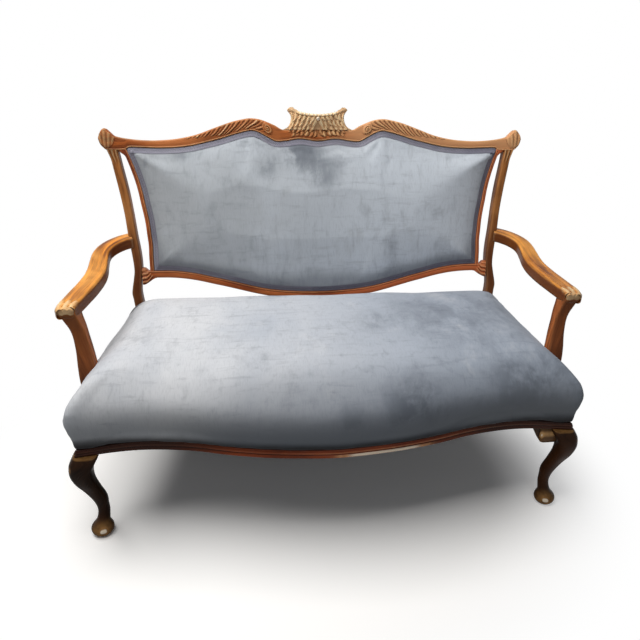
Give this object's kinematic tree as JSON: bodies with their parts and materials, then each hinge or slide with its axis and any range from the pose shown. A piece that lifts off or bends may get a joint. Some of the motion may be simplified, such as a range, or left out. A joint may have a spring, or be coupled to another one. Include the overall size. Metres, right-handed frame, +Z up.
{
  "type": "open-arm settee",
  "caption": "Upholstered open-arm settee with cabriole front legs, a carved and shaped crest rail, a padded back and a sprung seat.",
  "frame": {"origin": "on the floor, on the middle plane from left to right, midway between the foremost and the rearmost point", "axes": "+X to the settee's left arm as seen from behind, the viewer's right as seen from the front; +Y from the front to the back; +Z up"},
  "size_m": [1.3076, 0.7198, 0.9694],
  "materials": {
    "show_wood": "worn reddish-brown varnish",
    "arm_wood": "varnish worn to a light golden brown on top",
    "leg_wood": "dark glossy varnish",
    "carved_wood": "carved, rubbed golden on the high points",
    "frame_wood": "bare sawn hardwood",
    "velvet": "worn blue-grey velvet",
    "braid": "woven grey braid",
    "hessian": "plain woven jute",
    "black_cloth": "thin black cotton",
    "steel": "plain steel"
  },
  "bodies": {
    "root": {"crest_rail": "show_wood", "crest_cartouche": "carved_wood", "left_back_post": "show_wood", "right_back_post": "show_wood", "left_back_stile": "show_wood", "right_back_stile": "show_wood", "lower_back_rail": "show_wood", "lower_rail_brackets": "carved_wood", "left_arm": "arm_wood", "right_arm": "arm_wood", "left_arm_support": "arm_wood", "right_arm_support": "arm_wood", "front_seat_rail": "frame_wood", "back_seat_rail": "frame_wood", "left_side_rail": "frame_wood", "right_side_rail": "frame_wood", "front_moulding": "leg_wood", "left_side_moulding": "leg_wood", "right_side_moulding": "leg_wood", "left_front_leg": "leg_wood", "right_front_leg": "leg_wood", "knee_bracket": "leg_wood", "corner_blocks": "frame_wood", "corner_block_screws": "steel", "rail_dowels": "frame_wood", "crest_dowels": "frame_wood", "arm_dowels": "frame_wood", "arm_screws": "steel", "arm_screw_plugs": "show_wood", "seat_webbing": "hessian", "seat_springs": "steel", "seat_hessian": "hessian", "seat_stuffing": "hessian", "seat_cover": "velvet", "dust_cover": "black_cloth", "back_webbing": "hessian", "back_canvas": "hessian", "back_stuffing": "hessian", "inside_back_cover": "velvet", "outside_back_cover": "velvet", "back_braid": "braid"}
  },
  "joints": []
}
